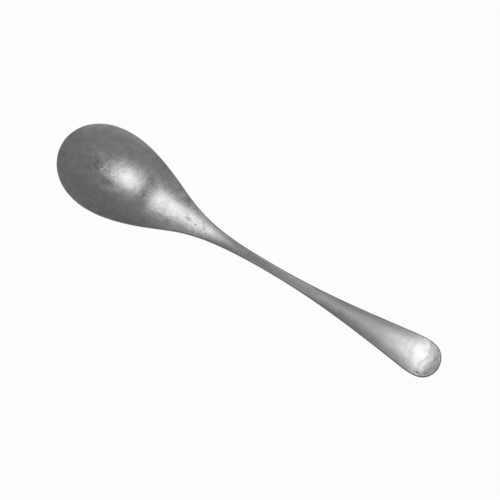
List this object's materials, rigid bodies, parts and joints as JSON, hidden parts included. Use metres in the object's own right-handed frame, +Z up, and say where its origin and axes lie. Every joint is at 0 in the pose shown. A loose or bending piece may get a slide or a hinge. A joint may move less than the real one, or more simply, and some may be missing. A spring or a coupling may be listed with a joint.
{
  "type": "spoon",
  "caption": "Plain metal spoon lying face down: an egg-shaped bowl, a slender stem that is narrowest past the bowl, and a broad rounded handle end.",
  "frame": {"origin": "centre of the spoon's outline on the ground plane it lies on, face down", "axes": "+X along the spoon from the bowl to the handle's end, +Z up out of the spoon's back, +Y across it"},
  "size_m": [0.18, 0.0366, 0.014],
  "materials": {
    "spoon_metal": "worn satin, buffed lengthwise, with light scratches and dull marks"
  },
  "bodies": {
    "root": {"spoon": "spoon_metal"}
  },
  "joints": []
}
